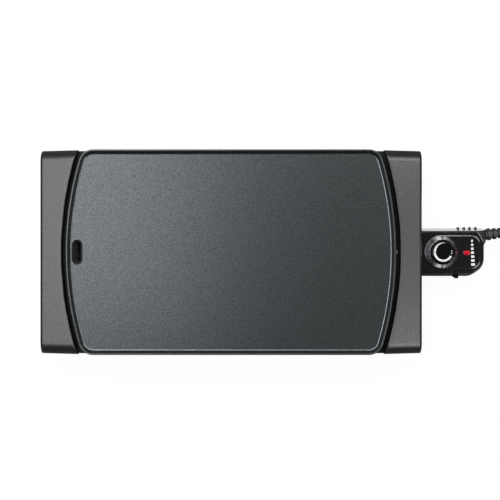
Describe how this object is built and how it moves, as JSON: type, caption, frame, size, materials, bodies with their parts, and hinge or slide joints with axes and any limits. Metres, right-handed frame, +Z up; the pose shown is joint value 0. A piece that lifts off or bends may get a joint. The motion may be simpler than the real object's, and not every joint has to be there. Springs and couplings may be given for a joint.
{
  "type": "electric griddle",
  "caption": "Table griddle: rimmed non-stick plate with a drain slot on two end handles with legs, drip tray, and a plug-in thermostat control with dial and mains cord.",
  "frame": {"origin": "on the table, under the middle of the griddle with its control plugged in, the cord left out", "axes": "+X along the griddle towards the control, +Y towards the back, +Z up"},
  "size_m": [0.804, 0.296, 0.072],
  "materials": {
    "plate_coating": "cast aluminium with a dark grey speckled non-stick coating",
    "element_steel": "dull drawn steel",
    "contact_steel": "nickel plated",
    "ceramic": "unglazed",
    "steel": "zinc plated sheet",
    "handle_plastic": "grey, fine moulded texture",
    "frame_plastic": "black heat-resistant plastic",
    "rubber": "matt black",
    "white_print": "printed ink",
    "tray_steel": "pressed sheet",
    "control_plastic": "black, fine spark texture",
    "brass": "plain",
    "insulator": "phenolic moulding",
    "lens_red": "translucent red",
    "lamp_glass": "clear neon lamp",
    "dial_plastic": "black, satin",
    "dial_gloss": "black, polished",
    "cord_black": "black flexible sheath",
    "wire_sheath": "coloured insulation"
  },
  "bodies": {
    "griddle": {"griddle_plate": "plate_coating", "heating_element": "element_steel", "terminal_pins": "contact_steel", "ceramic_bushes": "ceramic", "probe_guide": "steel", "terminal_shroud": "steel", "shroud_screws": "steel", "left_handle_shell": "handle_plastic", "right_handle_shell": "handle_plastic", "left_leg_frame": "frame_plastic", "right_leg_frame": "frame_plastic", "rubber_feet": "rubber", "insulating_washers": "ceramic", "plate_screws": "steel", "shell_screws": "steel", "tray_rails": "steel", "rail_screws": "steel", "plug_in_mark": "white_print"},
    "drip_tray": {"drip_tray": "tray_steel"},
    "control": {"control_top_housing": "control_plastic", "control_bottom_housing": "control_plastic", "socket_insulator": "insulator", "contact_sockets": "brass", "temperature_probe": "contact_steel", "thermostat_frame": "steel", "bimetal_strip": "brass", "contact_blade": "brass", "contact_stack": "insulator", "thermal_fuse": "ceramic", "pilot_lamp": "lamp_glass", "pilot_lens": "lens_red", "lead_wires": "wire_sheath", "cord_clamp": "control_plastic", "housing_screws": "steel", "heat_level_mark": "white_print", "cord_guard": "cord_black", "cord_lead": "cord_black", "cord_coil": "cord_black", "cord_tail": "cord_black", "cord_tie": "frame_plastic", "plug_body": "control_plastic", "plug_pins": "contact_steel", "plug_earth_clips": "brass"},
    "dial": {"dial_knob": "dial_plastic", "dial_cap": "dial_gloss", "dial_scale": "white_print", "dial_shaft": "contact_steel", "shaft_clip": "steel"}
  },
  "joints": [
    {"name": "control_plug", "type": "slide", "parent": "griddle", "child": "control", "axis": [1, 0, 0], "range_m": [0, 0.085]},
    {"name": "dial_turn", "type": "hinge", "parent": "control", "child": "dial", "pos_m": [0.249, 0, 0.05], "axis": [0, 0, 1], "range_deg": [-150, 130]},
    {"name": "tray_slide", "type": "slide", "parent": "griddle", "child": "drip_tray", "axis": [-1, 0, 0], "range_m": [0, 0.085]}
  ]
}
